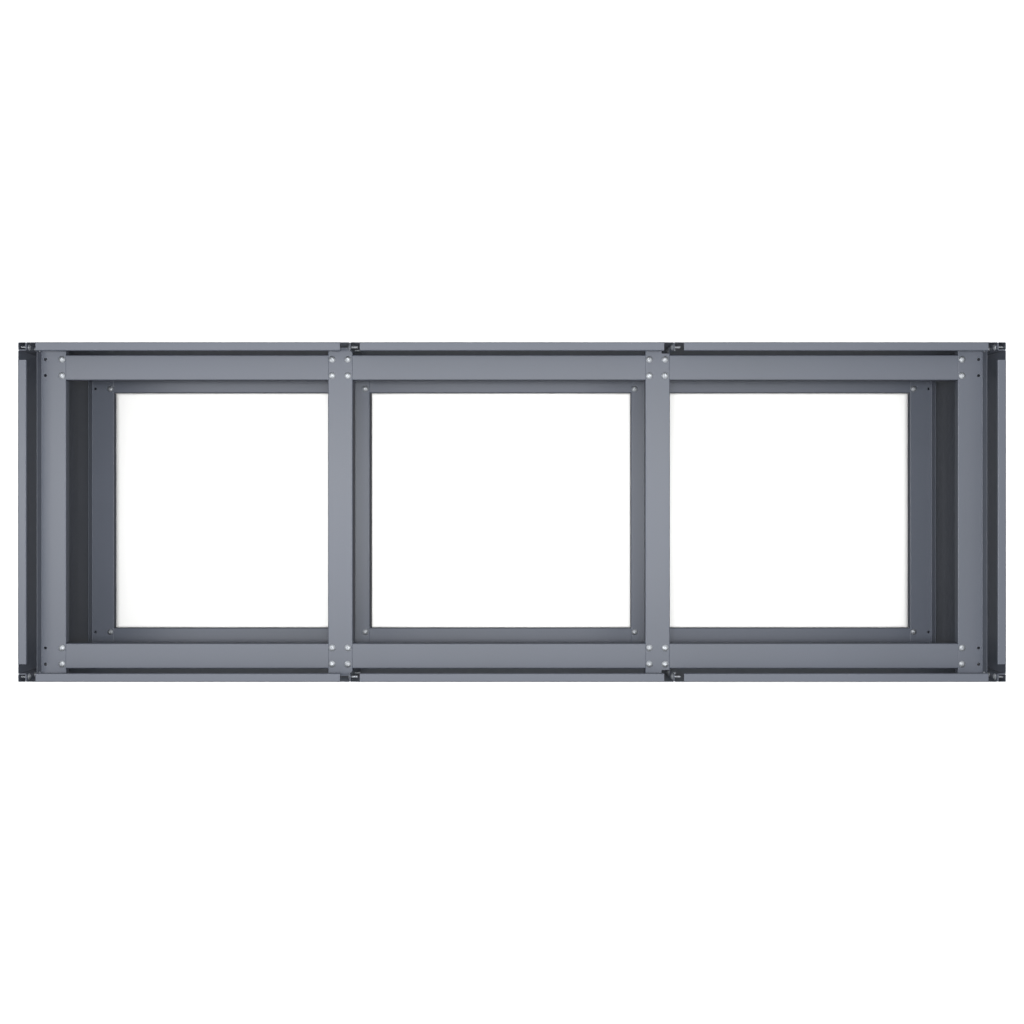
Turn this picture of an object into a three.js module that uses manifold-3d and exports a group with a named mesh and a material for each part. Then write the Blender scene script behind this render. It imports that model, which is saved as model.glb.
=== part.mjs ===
// Cold frame bed: a long, open, three-bay box of folded and powder-coated sheet steel.
// Eight tray panels of one folded shape stand between four hollow corner posts, and two ladder
// frames of cross members and rails, one high and one low, tie the walls together inside.
// Millimetres, +Z up. X runs along the bed and -Y is its front. The origin is on the ground, at the
// middle of the bed.

import * as THREE from "three";
import { mergeVertices } from "three/addons/utils/BufferGeometryUtils.js";
import Module from "manifold-3d";

// ---- Driving dimensions ------------------------------------------------------------------------

const BAYS = 3;
const WIDTH = 800;
const HEIGHT = 620;
const POST = 18.5; // side of the square that a corner post fills
const PANEL = WIDTH - 2 * POST; // length of every panel, and the pitch of the bays
const LENGTH = BAYS * PANEL + 2 * POST;

const SHEET = 1.2; // sheet thickness
const BEND = 1.5; // inside radius of a fold
const GAP = 0.3; // clearance between pieces that touch

const RIM_FLANGE = 20; // width of a panel's top and bottom flanges
const RIM_LIP = 8; // return lip on the inner edge of those flanges
const RIM_NOTCH = 23; // how far the flanges stop short of a panel's ends
const END_FLANGE = 18; // depth of the full-height flanges at a panel's ends

const MEMBER_WEB = 59.5; // width of a cross member's web
const MEMBER_LEG = 60; // depth of a middle cross member's leg
const MEMBER_LIP = 22; // depth of the lip on a cross member's or rail's free edge
const MEMBER_UPSTAND = 30; // height of an end cross member's upstand
const MEMBER_REACH = 395; // half length of a cross member's web
const TAB_REACH = 398; // half length of the leg or upstand that is bolted to the walls
const MEMBER_INSET = 30.1; // from an end wall's outer face to an end cross member's upstand
const RELIEF = { along: 20, across: 14.5 }; // corner cut beside the leg of a right middle member

const LADDER_MARGIN = 74; // from the rim to the upper ladder, and from the ground to the lower one
const LADDER_TOPS = {
  upper: HEIGHT - LADDER_MARGIN,
  lower: LADDER_MARGIN + MEMBER_LEG,
};

const RAIL_INNER = 317; // |y| of a rail's edges
const RAIL_OUTER = 377;
const RAIL_LAP = 12; // how far a rail runs past its bolts
const RAIL_ROOM = 1.5; // clearance round a rail where it passes through a cross member

const MIDDLE_COLUMNS = [13.35, 51.15]; // bolt columns of a middle cross member, from its joint plane
const END_COLUMNS = [1082.4, 1122]; // |x| of an end cross member's bolt column and its spare holes
const BOLT_ROWS = [327.5, 366.5]; // |y| of the bolt rows through the rails

const HOLE_RADIUS = 3.5;
const BOLT = { shank: 3, head: 8, crown: 4.2, short: 18, long: 28 }; // radii, then lengths
const FLANGE_BOLT_INSET = 10; // from an outer face to the bolts through the end flanges
const RIM_BOLT_DROP = 20; // from the rim, or the ground, to the first bolt
const LEG_BOLT_DROP = 18; // from the top of a middle cross member to the bolt through its leg
const UPSTAND_BOLT_RISE = 14; // from the top of an end cross member to the bolt through its upstand
const END_PANEL_BOLTS = [180, 310, 440]; // heights of the bolts from an end panel into its posts

// A bolt's crown from its middle to its edge, in shares of the head's radius and the crown's height
const CROWN = [
  [0, 1],
  [0.6, 0.8],
  [1, 0.15],
];

const COLOURS = { coat: 0x6d717c, zinc: 0xc4c7cb };

// ---- Modelling choices -------------------------------------------------------------------------

const FOLD_STEPS = 1; // divisions of each fold's arc
const HOLE_SIDES = 8;
const BOLT_SIDES = 10;
const DRILL_LENGTH = 4 * SHEET; // long enough to pass through any single sheet
const CUT_MARGIN = 1; // how far a cutting block runs past what it cuts

// ---- Materials ---------------------------------------------------------------------------------

const coat = new THREE.MeshStandardMaterial({ color: COLOURS.coat, roughness: 0.42, metalness: 0.1 });
const zinc = new THREE.MeshStandardMaterial({ color: COLOURS.zinc, roughness: 0.32, metalness: 0.9 });

// ---- Solids ------------------------------------------------------------------------------------

const wasm = await Module();
wasm.setup();

// A closed geometry as a solid that can be joined and cut.
function solid(geometry) {
  geometry.deleteAttribute("normal");
  geometry.deleteAttribute("uv");
  const merged = mergeVertices(geometry, 1e-4);
  return new wasm.Manifold(
    new wasm.Mesh({
      numProp: 3,
      vertProperties: merged.attributes.position.array,
      triVerts: new Uint32Array(merged.index.array),
    }),
  );
}

// A solid as a geometry with flat-shaded faces.
function geometryOf(body) {
  const mesh = body.getMesh();
  const geometry = new THREE.BufferGeometry();
  geometry.setAttribute("position", new THREE.BufferAttribute(mesh.vertProperties, 3));
  geometry.setIndex(new THREE.BufferAttribute(mesh.triVerts, 1));
  return geometry.toNonIndexed();
}

const AXES = {
  x: [new THREE.Vector3(0, 1, 0), new THREE.Vector3(0, 0, 1), new THREE.Vector3(1, 0, 0)],
  y: [new THREE.Vector3(0, 0, 1), new THREE.Vector3(1, 0, 0), new THREE.Vector3(0, 1, 0)],
  z: [new THREE.Vector3(1, 0, 0), new THREE.Vector3(0, 1, 0), new THREE.Vector3(0, 0, 1)],
};

// An outline swept along an axis. The outline is drawn in the next two axes in turn: y and z for x,
// z and x for y, x and y for z.
function prism(outline, axis, from, to) {
  const geometry = new THREE.ExtrudeGeometry(outline, {
    depth: to - from,
    bevelEnabled: false,
    curveSegments: FOLD_STEPS,
  });
  geometry.translate(0, 0, from);
  geometry.applyMatrix4(new THREE.Matrix4().makeBasis(...AXES[axis]));
  return solid(geometry);
}

// A block from one corner to the opposite one.
function block(low, high) {
  const size = high.map((value, i) => value - low[i]);
  const geometry = new THREE.BoxGeometry(...size);
  geometry.translate(...high.map((value, i) => (value + low[i]) / 2));
  return solid(geometry);
}

// A drill along an axis through a point in the middle of a sheet.
function drill(axis, point) {
  const geometry = new THREE.CylinderGeometry(HOLE_RADIUS, HOLE_RADIUS, DRILL_LENGTH, HOLE_SIDES);
  if (axis === "x") geometry.rotateZ(Math.PI / 2);
  if (axis === "z") geometry.rotateX(Math.PI / 2);
  geometry.translate(...point);
  return solid(geometry);
}

function cutAll(body, tools) {
  return tools.reduce((rest, tool) => rest.subtract(tool), body);
}

// The outline of a folded sheet. The corners follow one face of the sheet, and the metal lies to the
// left of the way they run. Each corner is rounded to the sheet's fold radius.
function foldedSheet(corners) {
  const points = corners.map(([u, v]) => new THREE.Vector2(u, v));
  const ways = points.slice(1).map((p, i) => p.clone().sub(points[i]).normalize());
  const left = (way) => new THREE.Vector2(-way.y, way.x);
  const folds = points.slice(1, -1).map((corner, i) => {
    const before = ways[i];
    const after = ways[i + 1];
    const side = Math.sign(before.cross(after));
    const near = side > 0 ? BEND + SHEET : BEND; // radius on the face that the corners follow
    const far = side > 0 ? BEND : BEND + SHEET;
    const reach = near * Math.tan(Math.abs(Math.acos(before.dot(after))) / 2);
    const centre = corner.clone().addScaledVector(before, -reach).addScaledVector(left(before), side * near);
    const start = left(before).multiplyScalar(-side).angle();
    const end = left(after).multiplyScalar(-side).angle();
    return { centre, near, far, start, end, clockwise: side < 0 };
  });
  const outline = new THREE.Shape();
  outline.moveTo(points[0].x, points[0].y);
  for (const f of folds) outline.absarc(f.centre.x, f.centre.y, f.near, f.start, f.end, f.clockwise);
  const last = points.at(-1);
  const lastOffset = left(ways.at(-1)).multiplyScalar(SHEET).add(last);
  const firstOffset = left(ways[0]).multiplyScalar(SHEET).add(points[0]);
  outline.lineTo(last.x, last.y);
  outline.lineTo(lastOffset.x, lastOffset.y);
  for (const f of folds.toReversed()) {
    outline.absarc(f.centre.x, f.centre.y, f.far, f.end, f.start, !f.clockwise);
  }
  outline.lineTo(firstOffset.x, firstOffset.y);
  outline.closePath();
  return outline;
}

// ---- Pieces ------------------------------------------------------------------------------------

// A tray panel, standing on the ground with its outer face on y = 0 and its inside towards +y.
// The bolt heights are those of the holes in its left and right end flanges.
function panel(leftBolts, rightBolts) {
  const half = (PANEL - GAP) / 2;
  const fold = BEND + SHEET;
  const tray = foldedSheet([
    [RIM_FLANGE, HEIGHT - RIM_LIP],
    [RIM_FLANGE, HEIGHT],
    [0, HEIGHT],
    [0, 0],
    [RIM_FLANGE, 0],
    [RIM_FLANGE, RIM_LIP],
  ]);
  const notch = PANEL / 2 - RIM_NOTCH;
  const ends = foldedSheet([
    [-half, END_FLANGE],
    [-half, 0],
    [half, 0],
    [half, END_FLANGE],
  ]);
  const upright = prism(ends, "z", fold, HEIGHT - fold);
  const middle = prism(tray, "x", -notch, notch);
  const holes = [
    ...leftBolts.map((z) => drill("x", [-half + SHEET / 2, FLANGE_BOLT_INSET, z])),
    ...rightBolts.map((z) => drill("x", [half - SHEET / 2, FLANGE_BOLT_INSET, z])),
  ];
  return cutAll(upright.add(middle), holes);
}

// A hollow corner post with its outer corner at the origin, filling +x and +y. The bolt heights are
// those of the holes in its far walls, for the bolts that run along x and along y.
function cornerPost(xBolts, yBolts) {
  const side = POST - GAP / 2;
  const fold = BEND + SHEET;
  const roundedSquare = (path, low, high, radius) => {
    path.absarc(high - radius, high - radius, radius, 0, Math.PI / 2, false);
    path.absarc(low + radius, high - radius, radius, Math.PI / 2, Math.PI, false);
    path.absarc(low + radius, low + radius, radius, Math.PI, 1.5 * Math.PI, false);
    path.absarc(high - radius, low + radius, radius, 1.5 * Math.PI, 2 * Math.PI, false);
    path.closePath();
    return path;
  };
  const outline = roundedSquare(new THREE.Shape(), 0, side, fold);
  outline.holes.push(roundedSquare(new THREE.Path(), SHEET, side - SHEET, BEND));
  const tube = prism(outline, "z", 0, HEIGHT - fold);
  const wall = side - SHEET / 2;
  return cutAll(tube, [
    ...xBolts.map((z) => drill("x", [wall, FLANGE_BOLT_INSET, z])),
    ...yBolts.map((z) => drill("y", [FLANGE_BOLT_INSET, wall, z])),
  ]);
}

// The holes through a web, whose top is at z = 0, at the given places along x.
function webHoles(columns) {
  const rows = [...BOLT_ROWS, ...BOLT_ROWS.map((y) => -y)];
  return columns.flatMap((x) => rows.map((y) => drill("z", [x, y, -SHEET / 2])));
}

// Room for the rails under a web, whose top is at z = 0, between two places along x.
function railRoom(xFrom, xTo) {
  const roof = -SHEET;
  const floor = roof - GAP - MEMBER_LIP - RAIL_ROOM;
  const inner = RAIL_INNER - RAIL_ROOM;
  const outer = RAIL_OUTER + RAIL_ROOM;
  return [block([xFrom, inner, floor], [xTo, outer, roof]), block([xFrom, -outer, floor], [xTo, -inner, roof])];
}

// A middle cross member whose leg hangs against the end flanges at the joint plane x = 0 and whose
// web reaches towards -x. Its top is at z = 0. A relieved one has its web cut back at both ends,
// beside the leg, so that the heads of the bolts through the leg can be reached from above.
function middleMember(relieved) {
  const face = -(GAP / 2 + SHEET + GAP);
  const free = face - MEMBER_WEB;
  const profile = foldedSheet([
    [-MEMBER_LIP, free],
    [0, free],
    [0, face],
    [-MEMBER_LEG, face],
  ]);
  const fold = BEND + SHEET;
  const web = prism(profile, "y", -MEMBER_REACH, MEMBER_REACH);
  const tabs = block([face - SHEET, -TAB_REACH, -MEMBER_LEG], [face, TAB_REACH, -fold]);
  const reliefs = (relieved ? [-1, 1] : []).map((side) => {
    const ys = [side * (MEMBER_REACH - RELIEF.across), side * (TAB_REACH + CUT_MARGIN)];
    ys.sort((a, b) => a - b);
    return block([face - RELIEF.along, ys[0], -fold], [face + CUT_MARGIN, ys[1], CUT_MARGIN]);
  });
  const bolt = WIDTH / 2 - FLANGE_BOLT_INSET;
  return cutAll(web.add(tabs), [
    ...railRoom(face - fold, face + CUT_MARGIN),
    ...railRoom(free - CUT_MARGIN, free + fold),
    ...reliefs,
    ...webHoles(MIDDLE_COLUMNS.map((inset) => -inset)),
    drill("x", [face - SHEET / 2, bolt, -LEG_BOLT_DROP]),
    drill("x", [face - SHEET / 2, -bolt, -LEG_BOLT_DROP]),
  ]);
}

// The right-hand end cross member, with its upstand beside the end wall and a lip on its inner edge.
// Its top is at z = 0 and its x is the bed's own.
function endMember() {
  const upstand = LENGTH / 2 - MEMBER_INSET - SHEET;
  const free = upstand - MEMBER_WEB;
  const profile = foldedSheet([
    [-MEMBER_LIP, free],
    [0, free],
    [0, upstand],
    [MEMBER_UPSTAND, upstand],
  ]);
  const web = prism(profile, "y", -MEMBER_REACH, MEMBER_REACH);
  const tabs = block([upstand, -TAB_REACH, BEND], [upstand + SHEET, TAB_REACH, MEMBER_UPSTAND]);
  const bolt = WIDTH / 2 - FLANGE_BOLT_INSET;
  return cutAll(web.add(tabs), [
    ...railRoom(free - CUT_MARGIN, free + BEND + SHEET),
    ...webHoles(END_COLUMNS),
    drill("x", [upstand + SHEET / 2, bolt, UPSTAND_BOLT_RISE]),
    drill("x", [upstand + SHEET / 2, -bolt, UPSTAND_BOLT_RISE]),
  ]);
}

// A rail along x on the back side, a shallow channel open downwards, with its top at z = 0.
// It has a pair of bolt holes near each end.
function rail(xFrom, xTo) {
  const profile = foldedSheet([
    [RAIL_OUTER, -MEMBER_LIP],
    [RAIL_OUTER, 0],
    [RAIL_INNER, 0],
    [RAIL_INNER, -MEMBER_LIP],
  ]);
  const holes = [xFrom + RAIL_LAP, xTo - RAIL_LAP].flatMap((x) =>
    BOLT_ROWS.map((y) => drill("z", [x, y, -SHEET / 2])),
  );
  return cutAll(prism(profile, "x", xFrom, xTo), holes);
}

// A mushroom-head bolt along x, with the underside of its head at x = 0 and its thread towards +x.
function bolt(length) {
  const points = [
    ...CROWN.map(([across, up]) => [across * BOLT.head, -up * BOLT.crown]),
    [BOLT.head, 0],
    [BOLT.shank, 0],
    [BOLT.shank, length],
    [0, length],
  ].map(([radius, along]) => new THREE.Vector2(radius, along));
  const geometry = new THREE.LatheGeometry(points, BOLT_SIDES);
  geometry.rotateZ(-Math.PI / 2);
  return solid(geometry);
}

// ---- Assembly ----------------------------------------------------------------------------------

const group = new THREE.Group();

function place(name, body, material, { position = [0, 0, 0], turn = 0 } = {}) {
  const mesh = new THREE.Mesh(geometryOf(body), material);
  mesh.name = name;
  mesh.position.set(...position);
  mesh.rotation.z = turn;
  group.add(mesh);
}

const rimBolts = [RIM_BOLT_DROP, HEIGHT - RIM_BOLT_DROP];
const legBolts = Object.values(LADDER_TOPS).map((top) => top - LEG_BOLT_DROP);
const upstandBolts = Object.values(LADDER_TOPS).map((top) => top + UPSTAND_BOLT_RISE);
const joint = [...rimBolts, ...legBolts];
const corner = [...rimBolts, ...upstandBolts];
const halfLength = LENGTH / 2;
const halfWidth = WIDTH / 2;
const joints = { left: -PANEL / 2, right: PANEL / 2 };

// Walls: three panels along the front, three along the back and one at each end.
const bays = { left: -PANEL, middle: 0, right: PANEL };
for (const [bay, x] of Object.entries(bays)) {
  const leftHoles = bay === "left" ? corner : joint;
  const rightHoles = bay === "right" ? corner : joint;
  const front = { position: [x, -halfWidth, 0] };
  const back = { position: [x, halfWidth, 0], turn: Math.PI };
  place(`front_panel_${bay}`, panel(leftHoles, rightHoles), coat, front);
  place(`back_panel_${bay}`, panel(rightHoles, leftHoles), coat, back);
}
const endPanel = panel(END_PANEL_BOLTS, END_PANEL_BOLTS);
place("end_panel_left", endPanel, coat, { position: [-halfLength, 0, 0], turn: -Math.PI / 2 });
place("end_panel_right", endPanel, coat, { position: [halfLength, 0, 0], turn: Math.PI / 2 });

// A post in each corner, turned so that its outer corner is the bed's. A quarter turn swaps the walls
// that its two sets of bolts go through, so each pair of opposite corners has its own post.
const corners = {
  front_left: { x: -halfLength, y: -halfWidth, turn: 0, body: cornerPost(corner, END_PANEL_BOLTS) },
  front_right: { x: halfLength, y: -halfWidth, turn: Math.PI / 2, body: cornerPost(END_PANEL_BOLTS, corner) },
  back_right: { x: halfLength, y: halfWidth, turn: Math.PI, body: cornerPost(corner, END_PANEL_BOLTS) },
  back_left: { x: -halfLength, y: halfWidth, turn: -Math.PI / 2, body: cornerPost(END_PANEL_BOLTS, corner) },
};
for (const [where, { x, y, turn, body }] of Object.entries(corners)) {
  place(`corner_post_${where}`, body, coat, { position: [x, y, 0], turn });
}

// Ladders: four cross members each, lying on three rails along either side.
const memberEnd = endMember();
const middleMembers = { left: middleMember(false), right: middleMember(true) };
const railReach = END_COLUMNS[0] + RAIL_LAP;
const lapLeft = MIDDLE_COLUMNS[1] - RAIL_LAP; // the rail from the left stops this far before a joint
const lapRight = MIDDLE_COLUMNS[0] + RAIL_LAP; // the rail to the right starts this far before it
const railSpans = {
  left: [-railReach, joints.left - lapLeft],
  middle: [joints.left - lapRight, joints.right - lapLeft],
  right: [joints.right - lapRight, railReach],
};
for (const [level, top] of Object.entries(LADDER_TOPS)) {
  place(`${level}_member_end_left`, memberEnd, coat, { position: [0, 0, top], turn: Math.PI });
  place(`${level}_member_end_right`, memberEnd, coat, { position: [0, 0, top] });
  for (const [side, x] of Object.entries(joints)) {
    place(`${level}_member_middle_${side}`, middleMembers[side], coat, { position: [x, 0, top] });
  }
  const railTop = top - SHEET - GAP;
  for (const [bay, [from, to]] of Object.entries(railSpans)) {
    place(`${level}_rail_back_${bay}`, rail(from, to), coat, { position: [0, 0, railTop] });
    const turned = { position: [0, 0, railTop], turn: Math.PI };
    place(`${level}_rail_front_${bay}`, rail(-to, -from), coat, turned);
  }
}

// Bolts through the joints between panels, from left to right, at four heights.
const shortBolt = bolt(BOLT.short);
const flangeFace = GAP / 2 + SHEET + GAP;
const legFace = flangeFace + SHEET + GAP;
const jointBolts = {
  base: { z: rimBolts[0], back: flangeFace },
  lower: { z: LADDER_TOPS.lower - LEG_BOLT_DROP, back: legFace },
  upper: { z: LADDER_TOPS.upper - LEG_BOLT_DROP, back: legFace },
  rim: { z: rimBolts[1], back: flangeFace },
};
const boltLines = { front: FLANGE_BOLT_INSET - halfWidth, back: halfWidth - FLANGE_BOLT_INSET };
for (const [wall, y] of Object.entries(boltLines)) {
  for (const [side, x] of Object.entries(joints)) {
    for (const [height, at] of Object.entries(jointBolts)) {
      place(`joint_bolt_${wall}_${side}_${height}`, shortBolt, zinc, { position: [x - at.back, y, at.z] });
    }
  }
}

// Bolts from the inside into the corner posts: the rim one through the end flange alone, the others
// through an end cross member's upstand as well.
const longBolt = bolt(BOLT.long);
const rimHead = halfLength - POST - flangeFace;
const upstandHead = halfLength - MEMBER_INSET - SHEET - GAP;
const cornerBolts = {
  lower: { z: upstandBolts[1], x: upstandHead, body: longBolt },
  upper: { z: upstandBolts[0], x: upstandHead, body: longBolt },
  rim: { z: rimBolts[1], x: rimHead, body: shortBolt },
};
const handed = { left: { way: -1, turn: Math.PI }, right: { way: 1, turn: 0 } };
for (const [wall, y] of Object.entries(boltLines)) {
  for (const [side, { way, turn }] of Object.entries(handed)) {
    for (const [height, at] of Object.entries(cornerBolts)) {
      const where = { position: [way * at.x, y, at.z], turn };
      place(`corner_bolt_${wall}_${side}_${height}`, at.body, zinc, where);
    }
  }
}

export default group;
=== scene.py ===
"""A cold frame bed of folded, powder-coated sheet steel, dressed for rendering around its frame.

Every wall panel, post, cross member and rail is one folded sheet with real fold radii, drilled holes
and softened edges. Geometry Nodes wind the threads and set the bolts, nuts and sleeves in place.
Sizes are in millimetres until a mesh is made; Blender's own units are metres.
"""

from __future__ import annotations

import logging
import math
from collections.abc import Callable, Iterable, Sequence
from dataclasses import dataclass, field
from enum import Enum

import bmesh
import bpy
from bmesh.types import BMesh
from bpy.types import Material, Mesh, Node, NodeSocket, NodeTree, Object
from mathutils import Matrix, Vector


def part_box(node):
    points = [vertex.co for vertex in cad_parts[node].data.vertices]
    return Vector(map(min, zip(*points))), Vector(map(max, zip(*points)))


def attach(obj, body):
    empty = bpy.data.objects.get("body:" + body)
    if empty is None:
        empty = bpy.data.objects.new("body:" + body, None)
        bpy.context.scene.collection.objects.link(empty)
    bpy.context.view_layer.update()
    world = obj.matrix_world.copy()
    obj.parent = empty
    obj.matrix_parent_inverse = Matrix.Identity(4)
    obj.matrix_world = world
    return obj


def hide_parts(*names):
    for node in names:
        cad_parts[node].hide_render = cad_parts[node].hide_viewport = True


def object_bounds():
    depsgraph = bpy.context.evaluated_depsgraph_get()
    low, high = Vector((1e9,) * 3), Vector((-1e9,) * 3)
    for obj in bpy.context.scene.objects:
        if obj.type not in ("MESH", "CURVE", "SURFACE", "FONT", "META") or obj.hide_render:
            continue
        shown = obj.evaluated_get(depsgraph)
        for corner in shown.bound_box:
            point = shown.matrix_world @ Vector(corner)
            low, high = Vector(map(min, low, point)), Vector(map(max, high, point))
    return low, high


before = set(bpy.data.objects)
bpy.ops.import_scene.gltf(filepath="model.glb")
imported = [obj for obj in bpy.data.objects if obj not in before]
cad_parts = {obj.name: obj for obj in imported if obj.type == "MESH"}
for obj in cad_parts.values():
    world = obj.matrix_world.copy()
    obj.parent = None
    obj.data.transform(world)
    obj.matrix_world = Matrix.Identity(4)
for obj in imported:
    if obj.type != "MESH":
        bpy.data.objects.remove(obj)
CAD_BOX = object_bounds()

LOG = logging.getLogger("cold_frame")
MM = 0.001
BODY = "root"
GAP = 0.3  # clear distance between neighbouring pieces, in millimetres
MERGE = 0.01  # points closer than this are one, in millimetres
BEVEL_SEGMENTS = 2
SIDES = ("left", "right")
BAYS = ("left", "middle", "right")
HALF_TURN = Matrix.Rotation(math.pi, 4, "Z")


# ---- Nodes and colours ---------------------------------------------------------------------------


def linear(hex_colour: str) -> tuple[float, float, float, float]:
    """Turns an sRGB hex colour into a linear RGBA one.

    Args:
        hex_colour: Six hex digits, such as "8a8f99".

    Returns:
        Linear red, green and blue, and an alpha of 1.
    """
    parts = [int(hex_colour[i : i + 2], 16) / 255 for i in (0, 2, 4)]
    red, green, blue = (c / 12.92 if c <= 0.04045 else ((c + 0.055) / 1.055) ** 2.4 for c in parts)
    return red, green, blue, 1.0


def feed(tree: NodeTree, node: Node, inputs: dict[str | int, object]) -> None:
    """Gives a node's inputs their values, or the links that feed them.

    Args:
        tree: The node's tree.
        node: The node.
        inputs: Sockets by name or number, each with a value or with the socket that feeds it.
    """
    for key, value in inputs.items():
        if isinstance(value, NodeSocket):
            tree.links.new(value, node.inputs[key])
        else:
            node.inputs[key].default_value = value


def add_node(
    tree: NodeTree,
    kind: str,
    settings: dict[str, object] | None = None,
    inputs: dict[str | int, object] | None = None,
) -> Node:
    """Adds a node with its settings and its inputs.

    Args:
        tree: The node tree that the node joins.
        kind: The node's type, as Blender names it.
        settings: Properties of the node and their values.
        inputs: Its inputs, as feed() takes them.

    Returns:
        The new node.
    """
    node = tree.nodes.new(kind)
    for name, value in (settings or {}).items():
        setattr(node, name, value)
    feed(tree, node, inputs or {})
    return node


def new_material(name: str) -> tuple[Material, Node, NodeSocket]:
    """Starts a node material.

    Args:
        name: The material's name.

    Returns:
        The material, its Principled shader and the socket that gives Object coordinates.
    """
    made = bpy.data.materials.new(name)
    made.use_nodes = True
    place = add_node(made.node_tree, "ShaderNodeTexCoord").outputs["Object"]
    return made, made.node_tree.nodes["Principled BSDF"], place


def blend_colours(ramp: Node, stops: dict[float, str]) -> None:
    """Sets the two ends of a colour ramp.

    Args:
        ramp: The ramp's node.
        stops: Hex colours by their places along the ramp, from low to high.
    """
    for end, (place, colour) in zip(ramp.color_ramp.elements, stops.items()):
        end.position = place
        end.color = linear(colour)


# ---- Finishes ------------------------------------------------------------------------------------


@dataclass(frozen=True)
class PowderCoat:
    """Polyester powder coat, sprayed as dust and baked on the steel.

    It gives the eye an even satin blue-grey with a faint orange-peel ripple, which softens every
    reflection, and slow changes of gloss where the film is thicker or thinner.
    """

    name: str = "powder_coat_anthracite_satin"
    thin_film: str = "3e424a"
    thick_film: str = "42464f"
    ior: float = 1.5
    roughness_low: float = 0.36
    roughness_high: float = 0.42
    film_patch_mm: float = 420.0  # width of the slow patches of thicker and thinner film
    peel_mm: float = 7.0  # real orange peel is 2 to 3 mm wide; drawn wider so that it shows
    peel_height_mm: float = 0.05
    peel_strength: float = 0.5
    dust_mm: float = 2.6  # single flecks of powder; real ones are 0.1 mm
    dust_share: float = 0.35  # how strongly the flecks change the film
    colour_span: tuple[float, float] = (0.45, 0.9)  # part of the film's pattern that changes colour
    gloss_span: tuple[float, float] = (0.4, 0.95)  # part of it that changes gloss

    def material(self) -> Material:
        """Builds the coat's node material.

        Returns:
            The material.
        """
        made, shader, place = new_material(self.name)
        tree = made.node_tree
        film, flecks, peel = (
            add_node(
                tree,
                "ShaderNodeTexNoise",
                inputs={"Vector": place, "Scale": 1 / (width * MM), "Detail": detail},
            ).outputs["Fac"]
            for width, detail in ((self.film_patch_mm, 3.0), (self.dust_mm, 1.0), (self.peel_mm, 2.0))
        )
        blend = add_node(
            tree,
            "ShaderNodeMath",
            {"operation": "MULTIPLY_ADD"},
            {0: flecks, 1: self.dust_share, 2: film},
        ).outputs[0]
        colour = add_node(tree, "ShaderNodeValToRGB", inputs={"Fac": blend})
        blend_colours(colour, dict(zip(self.colour_span, (self.thin_film, self.thick_film))))
        low, high = self.gloss_span
        gloss = add_node(
            tree,
            "ShaderNodeMapRange",
            inputs={
                "Value": blend,
                "From Min": low,
                "From Max": high,
                "To Min": self.roughness_low,
                "To Max": self.roughness_high,
            },
        )
        bump = add_node(
            tree,
            "ShaderNodeBump",
            inputs={"Height": peel, "Strength": self.peel_strength, "Distance": self.peel_height_mm * MM},
        )
        looks = {
            "Base Color": colour.outputs["Color"],
            "Roughness": gloss.outputs["Result"],
            "Normal": bump.outputs["Normal"],
            "IOR": self.ior,
        }
        feed(tree, shader, looks)
        return made


@dataclass(frozen=True)
class ZincPlate:
    """Bright zinc, electroplated on rolled and turned steel.

    It gives the eye a cool, satin silver with one soft glint on each head, fine turning rings and
    faint cloudy patches left by the bath.
    """

    name: str = "zinc_plate_bright"
    bright: str = "cfd3d7"
    cloudy: str = "b2b6bb"
    roughness_low: float = 0.52
    roughness_high: float = 0.7
    cloud_mm: float = 5.0
    ring_mm: float = 0.9  # real turning marks are 0.1 mm apart; drawn wider so that they show
    ring_height_mm: float = 0.02
    ring_strength: float = 0.4
    colour_span: tuple[float, float] = (0.35, 0.65)  # part of the clouds' pattern that changes colour
    gloss_span: tuple[float, float] = (0.3, 0.7)  # part of it that changes gloss

    def material(self) -> Material:
        """Builds the plating's node material, whose rings follow the attribute named radius.

        Returns:
            The material.
        """
        made, shader, place = new_material(self.name)
        tree = made.node_tree
        clouds = add_node(
            tree,
            "ShaderNodeTexNoise",
            inputs={"Vector": place, "Scale": 1 / (self.cloud_mm * MM), "Detail": 4.0},
        ).outputs["Fac"]
        colour = add_node(tree, "ShaderNodeValToRGB", inputs={"Fac": clouds})
        blend_colours(colour, dict(zip(self.colour_span, (self.cloudy, self.bright))))
        low, high = self.gloss_span
        gloss = add_node(
            tree,
            "ShaderNodeMapRange",
            inputs={
                "Value": clouds,
                "From Min": low,
                "From Max": high,
                "To Min": self.roughness_high,
                "To Max": self.roughness_low,
            },
        )
        radius = add_node(tree, "ShaderNodeAttribute", {"attribute_name": "radius"}).outputs["Fac"]
        turns = {0: radius, 1: math.tau / (self.ring_mm * MM)}
        phase = add_node(tree, "ShaderNodeMath", {"operation": "MULTIPLY"}, turns)
        rings = add_node(tree, "ShaderNodeMath", {"operation": "SINE"}, {0: phase.outputs[0]})
        bump = add_node(
            tree,
            "ShaderNodeBump",
            inputs={
                "Height": rings.outputs[0],
                "Strength": self.ring_strength,
                "Distance": self.ring_height_mm * MM,
            },
        )
        looks = {
            "Base Color": colour.outputs["Color"],
            "Roughness": gloss.outputs["Result"],
            "Normal": bump.outputs["Normal"],
            "Metallic": 1.0,
        }
        feed(tree, shader, looks)
        return made


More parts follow.
